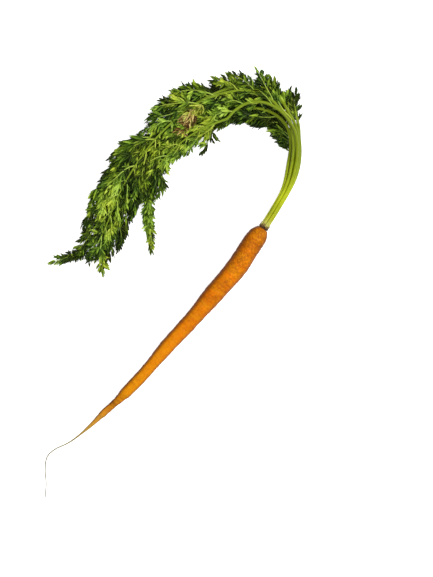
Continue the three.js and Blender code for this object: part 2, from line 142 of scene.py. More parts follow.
root_line = PlanLine(ROOT_LINE)
chance = seeded(11)
root_creases = [
    (
        FIRST_CREASE + (i + 0.2 + 0.6 * next(chance)) * CREASE_SPACING,
        next(chance) * 2 * math.pi,
        0.9 + 0.7 * next(chance),
    )
    for i in range(CREASE_COUNT)
]


def root_girth(distance, turn, creased=1):
    """The root's own swellings and creases, as a factor on its radius."""
    radius = smooth_curve(ROOT_RADIUS, distance)
    girth = 1
    for high, close, turns in SWELLINGS:
        girth = girth + high * np.sin(distance * close + turns * turn)
    for where, middle, spread in root_creases:
        off = (distance - where) / CREASE_HALF_WIDTH
        round_it = np.cos(turn - middle) - math.cos(spread)
        shallower = np.minimum(1, radius / FULL_CREASE_RADIUS)
        depth = creased * (CREASE_DEPTH / radius) * np.exp(-off * off) * shallower
        girth = girth - depth * np.clip(round_it * CREASE_END, 0, 1)
    return girth


def root_places(distance, turn, radius):
    """Points of the root's skin, for a column of distances and a row of turns."""
    point, _, right = root_line.at(distance[:, 0])
    middle = smooth_curve(ROOT_RADIUS, distance)
    tapered = middle * ROOT_AXIS_HEIGHT / THICKEST[1]
    height = np.where(distance < THICKEST[0], ROOT_AXIS_HEIGHT, tapered)
    height = np.where(distance > STOUT_END, np.maximum(height, middle), height)
    plan = point[:, None] + right[:, None] * (radius * np.cos(turn))[..., None]
    up = np.maximum(height + radius * np.sin(turn), 0)
    return np.concatenate([plan, up[..., None]], -1)


# The frame's origin is the middle of the model's box. The crown's place in it comes from the
# CAD root's own rings, whose furthest corner is known in the frame.
share = np.linspace(0, 1, CAD_RINGS + 1)[:, None]
cad_distance = ROOT_TOP + (STOUT_END - ROOT_TOP) * (0.55 * share + 0.45 * share**2)
cad_turn = np.arange(CAD_SIDES)[None] * 2 * math.pi / CAD_SIDES
cad_radius = smooth_curve(ROOT_RADIUS, cad_distance) * root_girth(cad_distance, cad_turn)
cad_corner = root_places(cad_distance, cad_turn, cad_radius).max((0, 1))
crown_place = np.array([*(np.array(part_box("root")[1])[:2] - cad_corner[:2] * MM), 0.0])

# The fine skin: creases again, then fine wrinkles across, a gentle unevenness, the wrinkled
# pinch, and the short scars of old side rootlets.
ROOT_SIDES = 88
SHOULDER_END = 20
ROOT_RINGS = (60, 545, 70)  # on the shoulder, down the stout part and along the hair
UNEVEN_COUNT = 16
UNEVEN_HEIGHT = 0.027
WRINKLE_COUNT = 210
WRINKLE_DEPTH = (0.04, 0.17)
SCAR_COUNT = 46
PINCH_AT = 198
PINCH_HALF_LENGTH = 4.2
PINCH_FOLDS = 9
CREASES_KEPT = 0.35  # the share of the creases' depth that the fine skin has
draw = np.random.default_rng(21)

hair_end = root_line.length
distance = np.concatenate(
    [
        np.linspace(ROOT_TOP, SHOULDER_END, ROOT_RINGS[0], endpoint=False),
        np.linspace(SHOULDER_END, STOUT_END, ROOT_RINGS[1], endpoint=False),
        np.linspace(STOUT_END, hair_end, ROOT_RINGS[2]),
    ]
)[:, None]
turn = (np.arange(ROOT_SIDES)[None] / ROOT_SIDES) * 2 * math.pi
radius = smooth_curve(ROOT_RADIUS, distance)
stout = smoothstep(radius, 0.5, 4)
relief = np.zeros((len(distance), ROOT_SIDES))
fold = np.zeros_like(relief)
scar = np.zeros_like(relief)


def round_from(middle):
    """How far round the root each column is from a turn, from -pi to pi."""
    return (turn - middle + math.pi) % (2 * math.pi) - math.pi


for _ in range(UNEVEN_COUNT):
    length, around = draw.uniform(4, 15), draw.integers(0, 6)
    phase = draw.uniform(0, 2 * math.pi)
    relief += UNEVEN_HEIGHT * np.sin(distance * 2 * math.pi / length + around * turn + phase)
for _ in range(WRINKLE_COUNT):
    where = ROOT_TOP + 6 + (STOUT_END - 30) * draw.random() ** 1.15
    spread, slant = draw.uniform(0.2, 0.95), draw.uniform(-1.1, 1.1)
    depth, half = draw.uniform(*WRINKLE_DEPTH), draw.uniform(0.3, 0.62)
    off_round = round_from(draw.uniform(0, 2 * math.pi))
    off_along = (distance - where - slant * off_round) / half
    groove = np.exp(-(off_along**2)) * np.clip(1 - (off_round / spread) ** 2, 0, 1)
    relief -= depth * groove
    fold = np.maximum(fold, groove * depth / WRINKLE_DEPTH[1])
for i in range(PINCH_FOLDS):
    where = PINCH_AT + PINCH_HALF_LENGTH * (i / (PINCH_FOLDS // 2) - 1)
    wave = 0.5 * np.sin(turn * 2 + i * 1.9) + 0.3 * np.sin(turn * 3 - i)
    groove = np.exp(-(((distance - where - wave) / 0.42) ** 2))
    relief -= 0.2 * groove
    fold = np.maximum(fold, 0.8 * groove)
for _ in range(SCAR_COUNT):
    where = draw.uniform(12, 215)
    off_round = round_from(draw.uniform(0, 2 * math.pi)) * radius
    long, wide = draw.uniform(0.5, 1.3), draw.uniform(0.25, 0.42)
    off = np.hypot((distance - where) / wide, off_round / long)
    relief += 0.1 * np.exp(-((off - 1.2) ** 2) / 0.18) - 0.16 * np.exp(-(off**2) / 0.4)
    scar = np.maximum(scar, np.exp(-(off**2) / 0.7))

radius_there = radius * root_girth(distance, turn, CREASES_KEPT) + relief * stout
skin_points = root_places(distance, turn, radius_there)
# The root is painted darker towards its two edges in plan, more on one side than the other: painted
# shade.
root_edge_shade = smoothstep(np.abs(np.cos(turn)) + 0.15 * np.cos(turn), 0.42, 1.1)
skin_round = np.stack(np.broadcast_arrays(distance / 10, np.cos(turn), np.sin(turn)), -1)


def ring_faces(rings, sides):
    """Four-sided faces between rings that lie one after another along a piece, facing out."""
    i, j = np.meshgrid(np.arange(rings - 1), np.arange(sides), indexing="ij")
    a, b = i * sides + j, i * sides + (j + 1) % sides
    return np.stack([a, a + sides, b + sides, b], -1).reshape(-1, 4)


def add_object(name, data):
    added = bpy.data.objects.new(name, data)
    bpy.context.scene.collection.objects.link(added)
    return added


def make_piece(name, points, faces, values, material, node, sharp=None):
    """One piece of the carrot from points in millimetres, riding on the body with its node."""
    mesh = bpy.data.meshes.new(name)
    mesh.from_pydata((points * MM + crown_place).tolist(), [], faces)
    for label, value in values.items():
        many = value.ndim == 2
        layer = mesh.attributes.new(label, "FLOAT_VECTOR" if many else "FLOAT", "POINT")
        layer.data.foreach_set("vector" if many else "value", value.ravel().astype(np.float32))
    mesh.polygons.foreach_set("use_smooth", np.ones(len(mesh.polygons), bool))
    if sharp is not None:
        mesh.set_sharp_from_angle(angle=math.radians(sharp))
    mesh.materials.append(material)
    piece = add_object(name, mesh)
    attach(piece, "root")
    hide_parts(node)


def feed(tree, socket, value):
    """A socket gets another node's output, or a plain value."""
    if isinstance(value, bpy.types.NodeSocket):
        tree.links.new(value, socket)
    elif value is not None:
        socket.default_value = (*value, 1) if socket.type == "RGBA" else value


def add_node(tree, kind, settings=None, **inputs):
    node = tree.nodes.new(kind)
    for key, value in (settings or {}).items():
        setattr(node, key, value)
    for key, value in inputs.items():
        feed(tree, node.inputs[key.replace("_", " ")], value)
    return node


def attribute(tree, name, kind="Fac"):
    return add_node(tree, "ShaderNodeAttribute", {"attribute_name": name}).outputs[kind]


def blend_colours(tree, share, a, b, how="MIX"):
    node = add_node(tree, "ShaderNodeMix", {"data_type": "RGBA", "blend_type": how})
    feed(tree, node.inputs[0], share)
    feed(tree, node.inputs[6], a)
    feed(tree, node.inputs[7], b)
    return node.outputs[2]


def mark(tree, colour, marks):
    """A colour with marks laid over it in turn, each with its share and its own colour."""
    for share, own in marks:
        colour = blend_colours(tree, share, colour, own)
    return colour


def work_out(tree, how, a, b=None, c=None):
    node = add_node(tree, "ShaderNodeMath", {"operation": how})
    for socket, value in zip(node.inputs, (a, b, c)):
        feed(tree, socket, value)
    return node.outputs[0]


def product(tree, first, *others):
    for other in others:
        first = work_out(tree, "MULTIPLY", first, other)
    return first


def rescaled(tree, value, low, high, to_low=0.0, to_high=1.0, how="LINEAR"):
    """A value moved from one range to another, and held inside that."""
    node = add_node(tree, "ShaderNodeMapRange", {"interpolation_type": how}, Value=value)
    ends = {"From Min": low, "From Max": high, "To Min": to_low, "To Max": to_high}
    for label, end in ends.items():
        feed(tree, node.inputs[label], end)
    return node.outputs["Result"]


def colours_along(tree, value, stops):
    """A colour that changes with a value from 0 to 1, through (value, colour) stops."""
    node = add_node(tree, "ShaderNodeValToRGB", Fac=value)
    ramp = node.color_ramp
    while len(ramp.elements) < len(stops):
        ramp.elements.new(1)
    for element, (at, colour) in zip(ramp.elements, stops):
        element.position = at
        element.color = (*colour, 1)
    return node.outputs["Color"]


def mottle_group():
    """Blotches and finer grain over a surface, used by every skin of the carrot."""
    tree = bpy.data.node_groups.new("mottle", "ShaderNodeTree")
    face = tree.interface
    face.new_socket("Place", in_out="INPUT", socket_type="NodeSocketVector")
    for label, start in (("Blotch Scale", 5), ("Grain Scale", 40), ("Edge", 0.1)):
        face.new_socket(label, in_out="INPUT", socket_type="NodeSocketFloat").default_value = start
    for label in ("Blotch", "Grain"):
        face.new_socket(label, in_out="OUTPUT", socket_type="NodeSocketFloat")
    given = tree.nodes.new("NodeGroupInput").outputs
    result = tree.nodes.new("NodeGroupOutput").inputs
    blotch = add_node(
        tree, "ShaderNodeTexNoise", Vector=given["Place"], Scale=given["Blotch Scale"], Detail=3
    )
    low = work_out(tree, "SUBTRACT", 0.5, given["Edge"])
    high = work_out(tree, "ADD", 0.5, given["Edge"])
    step = rescaled(tree, blotch.outputs["Fac"], low, high, how="SMOOTHSTEP")
    grain = add_node(
        tree, "ShaderNodeTexNoise", Vector=given["Place"], Scale=given["Grain Scale"], Detail=4
    )
    tree.links.new(step, result["Blotch"])
    tree.links.new(grain.outputs["Fac"], result["Grain"])
    return tree


mottle = mottle_group()


def add_mottle(tree, place, blotch, grain, edge):
    node = add_node(tree, "ShaderNodeGroup", {"node_tree": mottle}, Place=place, Edge=edge)
    feed(tree, node.inputs["Blotch Scale"], blotch)
    feed(tree, node.inputs["Grain Scale"], grain)
    return node.outputs["Blotch"], node.outputs["Grain"]


def new_material(name, **fixed):
    """A material with one Principled BSDF, whose unchanging values are set on its sockets."""
    material = bpy.data.materials.new(name)
    material.use_nodes = True
    shader = material.node_tree.nodes["Principled BSDF"]
    for key, value in fixed.items():
        shader.inputs[key.replace("_", " ")].default_value = value
    return material, material.node_tree, shader


def finish_surface(tree, shader, colour, grain, rougher, rough, bump=0, depth=0):
    """Colour, and a dullness and fine relief that follow the grain; depth in millimetres."""
    feed(tree, shader.inputs["Base Color"], colour)
    feed(tree, shader.inputs["Roughness"], work_out(tree, "MULTIPLY_ADD", grain, rougher, rough))
    if bump:
        relief = add_node(
            tree, "ShaderNodeBump", Height=grain, Strength=bump, Distance=depth * MM
        )
        feed(tree, shader.inputs["Normal"], relief.outputs["Normal"])


ORANGE_ALONG = [  # distance along the root, and its colour there
    (0, (0.18, 0.040, 0.002)), (7, (0.46, 0.115, 0.001)), (30, (0.66, 0.165, 0.001)),
    (75, (0.575, 0.126, 0.001)), (120, (0.57, 0.143, 0.001)), (185, (0.53, 0.185, 0.002)),
    (192, (0.42, 0.140, 0.004)), (195, (0.20, 0.062, 0.005)), (200, (0.18, 0.056, 0.005)),
    (204, (0.40, 0.140, 0.012)), (212, (0.40, 0.195, 0.030)), (226, (0.34, 0.215, 0.042)),
    (240, (0.26, 0.205, 0.070)), (268, (0.19, 0.175, 0.100)), (305, (0.29, 0.280, 0.230)),
]
ORANGE_ENDS = (215, 245)  # the orange skin's fresh marks fade out between these distances
skin_material, tree, shader = new_material(
    "carrot_skin", Specular_IOR_Level=0.05, Subsurface_Weight=0.08, Subsurface_Scale=0.002,
    Subsurface_Radius=(1.0, 0.35, 0.1),
)
along = attribute(tree, "along")
wrap = attribute(tree, "skin_round", "Vector")
lines = add_node(tree, "ShaderNodeVectorMath", {"operation": "MULTIPLY"})
feed(tree, lines.inputs[0], wrap)
feed(tree, lines.inputs[1], (5.0, 0.8, 0.8))
base = colours_along(tree, along, [(d / hair_end, c) for d, c in ORANGE_ALONG])
blotch, grain = add_mottle(tree, wrap, 1.1, 5.5, 0.2)
bands, threads = add_mottle(tree, lines.outputs["Vector"], 0.55, 2.4, 0.2)
rust, flecks = add_mottle(tree, wrap, 5.2, 12, 0.14)
speckle, _ = add_mottle(tree, wrap, 7.5, 20, 0.07)
upper = rescaled(tree, along, 0.42, 0.04)
fresh = rescaled(tree, along, ORANGE_ENDS[1] / hair_end, ORANGE_ENDS[0] / hair_end)
colour = mark(
    tree,
    base,
    [
        (product(tree, blotch, upper, 0.6), (0.30, 0.060, 0.003)),  # brown blotches
        (product(tree, bands, fresh, 0.55), (0.63, 0.235, 0.004)),  # paler bands
        (product(tree, rust, upper, 0.6), (0.22, 0.042, 0.002)),  # rust
        (product(tree, speckle, blotch, upper, 0.6), (0.09, 0.020, 0.002)),  # freckles
        (product(tree, flecks, fresh, 0.2), (0.70, 0.27, 0.006)),  # bright flecks
    ],
)
grained = rescaled(tree, grain, 0.33, 0.67, 0.9, 1.1)
colour = blend_colours(tree, 1.0, colour, grained, "MULTIPLY")
colour = mark(
    tree,
    colour,
    [
        # painted shade in the creases of the wrinkles and the pinch
        (product(tree, attribute(tree, "fold"), 0.4), (0.16, 0.040, 0.004)),
        (product(tree, attribute(tree, "scar"), 0.7), (0.20, 0.085, 0.02)),
        # painted shade along the root's edges
        (product(tree, attribute(tree, "flank_shade"), 0.88), (0.10, 0.022, 0.001)),
    ],
)
finish_surface(tree, shader, colour, threads, 0.3, 0.3, bump=0.4, depth=0.3)

rings = len(distance)
points = np.vstack(
    [
        skin_points.reshape(-1, 3),
        root_places(np.full((1, 1), DIMPLE[0]), turn, np.full((1, 1), DIMPLE[1])).reshape(-1, 3),
    ]
)
last = rings * ROOT_SIDES
row = np.arange(ROOT_SIDES)
following = (row + 1) % ROOT_SIDES
dimple_wall = np.stack([last + row, row, following, last + following], -1)
faces = ring_faces(rings, ROOT_SIDES).tolist() + dimple_wall.tolist()
faces += [(last + row).tolist(), (last - 1 - row).tolist()]
along_value = np.broadcast_to(distance / hair_end, relief.shape).ravel()
spare = np.zeros(ROOT_SIDES)
make_piece(
    "carrot_root",
    points,
    faces,
    {
        "along": np.append(along_value, spare),
        "fold": np.append(fold * stout, spare),
        "scar": np.append(scar * stout, spare),
        "flank_shade": np.append(root_edge_shade * smoothstep(radius, 0.6, 2.4), spare),
        "skin_round": np.vstack([skin_round.reshape(-1, 3), skin_round[0]]),
    },
    skin_material,
    "root",
)

# ---- Crown -----------------------------------------------------------------------------------
# The short woody top of the root, dark and corky, that the leaf stalks grow from. Round its rim
# stand the dry stubs of the first leaves' bases, thin pointed scales that lean on the stalks.

CROWN_RADIUS = 3.75
CROWN_LENGTH = 4
CROWN_SIDES = 72
SCALE_COUNT = 12
SCALE_ROOTED = 1.4  # how far below the top face a scale starts
SCALE_OFF = 0.35
SCALE_ALONG = np.array([0, 0.25, 0.5, 0.75, 1])
SCALE_WIDTH = np.array([1.0, 1.0, 0.8, 0.45, 0.08])
SCALE_SECTION = [  # across and outwards, going round a scale
    (1, 0), (0.5, 0.16), (0, 0.22), (-0.5, 0.16), (-1, 0), (-0.5, -0.16), (0, -0.22), (0.5, -0.16),
]
HEAP_LINE = [
    (0, 0), (10.7, 17.2), (20.6, 35.5), (25.9, 55.6), (26.6, 72), (23, 87), (13, 99),
    (-1.5, 106), (-23, 107), (-46, 101), (-68, 90), (-88.5, 73), (-107, 50), (-122, 25),
    (-133, 1), (-143, -15), (-157, -23), (-172, -25), (-196, -27),
]
heap_line = PlanLine(HEAP_LINE)
_, root_direction, _ = root_line.at(0.0)
_, leaf_direction, _ = heap_line.at(0.0)
crown_middle = np.array([0, 0, ROOT_AXIS_HEIGHT])
draw = np.random.default_rng(5)

BARREL = [  # height from the top face, and radius
    (-2.9, 2.85), (-2.2, 3.35), (-1.7, 3.6), (-1.3, 3.95), (-0.9, 3.85), (-0.5, 4.2),
    (-0.2, 4.25), (0, 4.1), (0.1, 3.5),
]
crown_turn = np.arange(CROWN_SIDES) * 2 * math.pi / CROWN_SIDES
barrel = []
for height, wide in BARREL:
    bend = smoothstep(height, -CROWN_LENGTH, 0)
    direction = -root_direction * (1 - bend) + leaf_direction * bend
    direction /= np.linalg.norm(direction)
    centre = crown_middle + np.array([*direction * height, 0])
    right = np.array([direction[1], -direction[0], 0])
    rough = 1 + 0.02 * np.sin(crown_turn * 9 + height * 3) + 0.015 * np.sin(crown_turn * 17)
    rough = rough + draw.normal(0, 0.012, CROWN_SIDES)
    out = np.outer(np.cos(crown_turn), right) + np.outer(np.sin(crown_turn), (0, 0, 1))
    barrel.append(centre + out * (wide * rough)[:, None])
points = [np.vstack(barrel)]
row = np.arange(CROWN_SIDES)
last = (len(BARREL) - 1) * CROWN_SIDES
faces = ring_faces(len(BARREL), CROWN_SIDES).tolist()
faces += [row.tolist(), (last + row[::-1]).tolist()]
tips = [np.zeros(len(points[0]))]

forward = np.array([*leaf_direction, 0])
sideways = np.array([leaf_direction[1], -leaf_direction[0], 0])
scale_row = np.arange(len(SCALE_SECTION))
for i in range(SCALE_COUNT):
    middle = (i + 0.5 * draw.random()) / SCALE_COUNT * 2 * math.pi
    tall, half = draw.uniform(1.5, 4.0), draw.uniform(0.5, 1.1)
    lean = draw.uniform(0.0, 0.5)
    scale = []
    for u, w in zip(SCALE_ALONG, SCALE_WIDTH):
        for across, thick in SCALE_SECTION:
            at = middle + across * w * half / CROWN_RADIUS
            out = sideways * math.cos(at) + np.array([0, 0, math.sin(at)])
            off = CROWN_RADIUS + SCALE_OFF + lean * u * u + thick * (1 - 0.5 * u)
            up_to = -SCALE_ROOTED + (tall + SCALE_ROOTED) * u
            scale.append(crown_middle + forward * up_to + out * off)
    start = sum(len(p) for p in points)
    end = start + len(scale) - len(scale_row)
    points.append(np.array(scale))
    faces += (ring_faces(len(SCALE_ALONG), len(scale_row))[:, ::-1] + start).tolist()
    faces += [(start + scale_row[::-1]).tolist(), (end + scale_row).tolist()]
    tips.append(np.repeat(SCALE_ALONG, len(scale_row)))

bark_material, tree, shader = new_material("crown_bark", Specular_IOR_Level=0.3)
place = add_node(tree, "ShaderNodeTexCoord").outputs["Object"]
blotch, grain = add_mottle(tree, place, 500, 2500, 0.14)
tip = attribute(tree, "tip")
base = blend_colours(tree, blotch, (0.022, 0.010, 0.004), (0.075, 0.030, 0.008))
dry = product(tree, tip, grain)
colour = blend_colours(tree, dry, base, (0.42, 0.27, 0.09))
finish_surface(tree, shader, colour, grain, 0.4, 0.5, bump=0.7, depth=0.3)
make_piece(
    "crown_and_scales", np.vstack(points), faces, {"tip": np.concatenate(tips)},
    bark_material, "crown", sharp=50,
)

# ---- Stalks ----------------------------------------------------------------------------------
# Eight leaf stalks stand round the crown and lie over to one side on each other. Each is one
# juicy ribbed rod: white and swollen at its foot, yellow-green above, and thinner to its tip.

# Each leaf's shade is its tone, set darker for the leaves that lie low in the heap: partly the
# leaf's own tone, partly painted shade.
LEAVES = [  # in millimetres; aside holds (distance, how far right of the heap's line)
    dict(
        ring=(0, -2.65), reach=356, bare=102, slim=0.72, shade=0.24, thread=336, last=19,
        aside=[(60, 0), (120, 0), (200, 0), (290, 2), (330, 2), (356, 0)],
    ),
    dict(
        ring=(-2.06, -1.67), reach=324, bare=82, slim=0.4, shade=0.25, thread=324,
        aside=[(60, -3), (80, -3), (130, -8), (230, -8), (295, -5), (324, -10)],
    ),
    dict(
        ring=(2.06, -1.67), reach=114, bare=95, slim=0.45, shade=0.4, thread=114, last=8,
        outside_from=104, aside=[(60, 4.4), (80, 4), (92, 6), (100, 9), (107, 13), (114, 18)],
    ),
    dict(
        ring=(0, 0), reach=298, bare=110, slim=0.85, shade=0.34, thread=232,
        aside=[(60, -0.6), (80, -0.5), (125, 3), (190, 1), (228, -7), (264, -20), (298, -34)],
    ),
    dict(
        ring=(-2.59, 0.55), reach=310, bare=106, slim=0.4, shade=0.27, thread=310,
        aside=[(60, -5), (80, -4), (125, -6), (180, -9), (270, -8), (310, -8)],
    ),
    dict(
        ring=(2.59, 0.55), reach=324, bare=120, slim=0.4, shade=0.38, thread=324,
        aside=[(60, 3), (80, 2.6), (100, 3), (112, 7), (124, 11), (140, 12), (190, 8), (270, 9),
               (324, 9)],
    ),
    dict(
        ring=(-1.2, 2.36), reach=326, bare=132, slim=0.4, shade=0.46, thread=326,
        aside=[(60, -2), (80, -2), (108, 0), (122, 4), (142, 8), (170, 8), (215, 4), (290, 2),
               (326, 0)],
    ),
    dict(
        ring=(1.2, 2.36), reach=246, bare=140, slim=0.5, shade=0.43, thread=246, inside_from=166,
        aside=[(60, 1.4), (80, 1), (100, -1), (120, -1), (134, -2), (150, -8), (162, -14),
               (246, -13)],
    ),
]
STALK_RADIUS = 1.0
STALK_RADIUS_AT_LEAFLETS = 1.4
STALK_RADIUS_AT_TIP = 0.5
STALK_FOOT = [(0, 1.14), (20, 1.14), (55, 1.12), (95, 0.95), (360, 0.85)]  # its swelling
STALK_SIDES = 24
STALK_RIBS = 6
STALK_RIB_HEIGHT = 0.06  # against the stalk's radius
STALK_START = 0.3
STALK_STEP = 2
COURSE_STEP = 3.0  # between the places that a leaf's course in plan is kept at
FOOT_LENGTH = 24  # a stalk leaves its place on the crown after this
ABOVE_TABLE = 0.05
LAYER = 2.0  # the thickness of the heap that each leaf takes up
LAYER_CLEARANCE = 0.4
LAYER_SPREAD = 19
LAYER_FADE = 22
LAYER_LEAD = 30  # a layer thickens over this length below the first leaflets
STALK_BUMP_WIDTH = 8
BARE_BUMP_WIDTH = 3.4
SETTLE_FROM = 42
SETTLE_TO = 88


def stalk_radius(leaf, distance):
    stops = [0, leaf["bare"], leaf["reach"]]
    values = [STALK_RADIUS, STALK_RADIUS_AT_LEAFLETS, STALK_RADIUS_AT_TIP]
    return np.interp(distance, stops, values)


def stalk_in_plan(leaf, distance):
    point, _, right = heap_line.at(distance)
    foot = leaf["ring"][0]
    aside = smooth_curve([(0, foot), (FOOT_LENGTH, foot), *leaf["aside"]], distance)
    return point + right * aside[..., None]


for leaf in LEAVES:
    steps = np.arange(0, leaf["reach"] + COURSE_STEP, COURSE_STEP)
    leaf["course_at"] = np.minimum(steps, leaf["reach"])
    leaf["course"] = stalk_in_plan(leaf, leaf["course_at"])


def layer_thickness(leaf, places):
    """How thick a layer the leaf takes up in the heap, over places in plan."""
    start, leg = leaf["course"][:-1], np.diff(leaf["course"], axis=0)
    square = np.maximum((leg**2).sum(-1), 1e-9)
    t = np.clip(((places[:, None] - start) * leg).sum(-1) / square, 0, 1)
    gap = np.linalg.norm(places[:, None] - start - t[..., None] * leg, axis=-1)
    best = gap.argmin(1)
    pick = np.arange(len(places))
    nearest, t = gap[pick, best], t[pick, best]
    at = leaf["course_at"][best] + t * np.diff(leaf["course_at"])[best]
    leafy = smoothstep(at, leaf["bare"] - LAYER_LEAD, leaf["bare"])
    spread = 1 - smoothstep(nearest, LAYER_SPREAD, LAYER_SPREAD + LAYER_FADE)
    over = np.maximum(0, 2 * stalk_radius(leaf, at) + LAYER_CLEARANCE - LAYER * leafy)
    width = BARE_BUMP_WIDTH + (STALK_BUMP_WIDTH - BARE_BUMP_WIDTH) * leafy
    return LAYER * spread * leafy + over * np.exp(-((nearest / width) ** 2))


def layer_floor(index, places):
    """The height of the underside of a leaf's layer: what the leaves below it take up."""
    return sum((layer_thickness(leaf, places) for leaf in LEAVES[:index]), np.zeros(len(places)))


def stalk_height(index, distance, places):
    leaf = LEAVES[index]
    resting = layer_floor(index, places) + layer_thickness(leaf, places) / 2
    settled = smoothstep(distance, SETTLE_FROM, SETTLE_TO)
    return (ROOT_AXIS_HEIGHT + leaf["ring"][1]) * (1 - settled) + resting * settled


def tubes(paths, radii, sides, shape=1.0):
    """Closed tapering rods along paths that have the same count of places."""
    count, steps, _ = paths.shape
    along = np.gradient(paths, axis=1)
    along /= np.linalg.norm(along, axis=2, keepdims=True)
    right = np.stack([along[..., 1], -along[..., 0], 0 * along[..., 0]], -1)
    right /= np.maximum(np.linalg.norm(right, axis=2, keepdims=True), 1e-9)
    up = np.cross(right, along)
    turn = np.arange(sides) * 2 * math.pi / sides
    wide = (radii[..., None] * shape)[..., None]
    out = right[:, :, None] * np.cos(turn)[:, None] + up[:, :, None] * np.sin(turn)[:, None]
    points = (paths[:, :, None] + out * wide).reshape(-1, 3)
    starts = np.arange(count)[:, None, None] * steps * sides
    quads = (ring_faces(steps, sides) + starts).reshape(-1, 4)
    row = np.arange(sides)
    first = starts[:, 0] + row
    last = starts[:, 0] + (steps - 1) * sides + row[::-1]
    return points, quads.tolist() + first.tolist() + last.tolist()


GREEN_END = 360
GREEN_ALONG = [  # distance up a stalk, and its colour there
    (0, (0.60, 0.50, 0.20)), (3, (0.56, 0.52, 0.12)), (8, (0.44, 0.44, 0.02)),
    (20, (0.44, 0.48, 0.010)), (42, (0.37, 0.42, 0.010)), (62, (0.185, 0.235, 0.006)),
    (100, (0.17, 0.23, 0.010)), (170, (0.19, 0.28, 0.020)), (GREEN_END, (0.17, 0.26, 0.020)),
]
stalk_material, tree, shader = new_material(
    "stalk_green", Specular_IOR_Level=0.1, Subsurface_Weight=0.1, Subsurface_Scale=0.0015,
    Subsurface_Radius=(0.6, 1.0, 0.2),
)
along = attribute(tree, "along")
groove = attribute(tree, "groove")
place = add_node(tree, "ShaderNodeTexCoord").outputs["Object"]
base = colours_along(tree, along, [(d / GREEN_END, c) for d, c in GREEN_ALONG])
blotch, grain = add_mottle(tree, place, 70, 900, 0.2)
# The stalk is darker in its blotches, which are its own colour, and in the grooves between its
# ribs, which is painted shade.
blotch_and_groove_shade = work_out(tree, "MULTIPLY_ADD", blotch, 0.3, product(tree, groove, 0.45))
colour = blend_colours(tree, blotch_and_groove_shade, base, (0.13, 0.17, 0.004))
# Each stalk's underside and lower flanks are painted darker: painted shade.
flank_shade = product(tree, attribute(tree, "flank_shade"), 0.8)
colour = blend_colours(tree, flank_shade, colour, (0.020, 0.034, 0.001))
finish_surface(tree, shader, colour, grain, 0.25, 0.33, bump=0.3, depth=0.15)

turn = np.arange(STALK_SIDES) * 2 * math.pi / STALK_SIDES
stalk_lines = []
for index, leaf in enumerate(LEAVES):
    steps = round(leaf["reach"] / STALK_STEP)
    distance = np.linspace(STALK_START, leaf["reach"], steps + 1)
    plan = stalk_in_plan(leaf, distance)
    height = stalk_height(index, distance, plan)
    line = np.concatenate([plan, height[:, None]], -1)
    stalk_lines.append((distance, line))
    radius = stalk_radius(leaf, distance) * smooth_curve(STALK_FOOT, distance)
    ridge = np.cos(turn * STALK_RIBS + index)
    points, faces = tubes(line[None], radius[None], STALK_SIDES, 1 + STALK_RIB_HEIGHT * ridge)
    points[:, 2] = np.maximum(points[:, 2], ABOVE_TABLE)
    rows = (steps + 1, STALK_SIDES)
    make_piece(
        f"stalk_{index + 1}",
        points,
        faces,
        {
            "along": np.broadcast_to(distance[:, None] / GREEN_END, rows).ravel(),
            "groove": np.broadcast_to((0.5 - 0.5 * ridge) ** 2, rows).ravel(),
            "flank_shade": np.broadcast_to(smoothstep(0.35 - np.sin(turn), 0, 0.6), rows).ravel(),
        },
        stalk_material,
        f"leaf_{index + 1}",
    )

# ---- Leaflets --------------------------------------------------------------------------------
# Each stalk carries side branches in pairs, each branch twigs in pairs, and each twig narrow
# pointed lobes: soft thin blades, folded along a pale rib, that have wilted and lie in a heap.

BRANCH_SPACING = 15
THREAD_SPACING = 4  # along the threadlike end of a leaf
THREAD_BRANCH = 7
BRANCH_LENGTH = 50
BRANCH_ANGLES = (44, 4)  # degrees from the stalk, at its foot and at its tip
BRANCH_STEPS = 9
BRANCH_SIDES = 6
BRANCH_JITTER = 7
THREAD_JITTER = 3
LEAF_END = 5  # no pair of branches starts in this last part of a stalk
LAST_BRANCH = 8  # before a stalk's tip, where the leaf ends in one branch
HANG_INSIDE = 0.8  # how much a branch turns the way the heap trails
HANG_OUTSIDE = 0.6
HANG_LEAST = 0.2  # on the inside of the heap's bend
HANG_OVER = (70, 120)  # it sets in this far to the left of the crown
HANG_ENDS = (285, 310)  # and ends this far along the stalk
TWIG_SPACING = 4.4
TWIG_THINNING = 0.3  # the upper leaves have their twigs this much further apart, each
TWIG_LENGTH = 15
TWIG_STEPS = 4
TWIG_SIDES = 4
TWIG_RADII = (0.26, 0.16)
DRY_SLIM = 0.45  # how much narrower a withered blade is
OUTSIDE_FROM = 110
OUTSIDE_SHARE = [
    (110, 0.38), (135, 0.54), (152, 0.55), (170, 0.7), (188, 0.6), (207, 0.5), (225, 0.82),
    (245, 0.97), (290, 0.83), (312, 0.32),
]
INSIDE_SHARE = [
    (100, 0.9), (125, 0.6), (143, 0.44), (165, 0.5), (190, 0.5), (225, 0.54), (245, 0.72),
    (265, 0.52), (288, 0.53), (310, 0.62),
]
SHORT_LEAF = 60
FULL_LEAF = 160
LOBE_ALONG = np.array([0, 0.3, 0.66, 1.0])
LOBE_WIDTH = np.array([0.35, 1.0, 0.8, 0.0])
LOBE_THICKNESS = 0.24
# A blade is painted darker at its foot: painted shade where it meets its twig.
FOOT_SHADE = 0.24  # how much darker a blade's foot is
# Blades are painted darker the more heap lies over them: painted shade inside the heap.
DEEPER = 0.065  # how much darker a blade is for each millimetre that lies over it
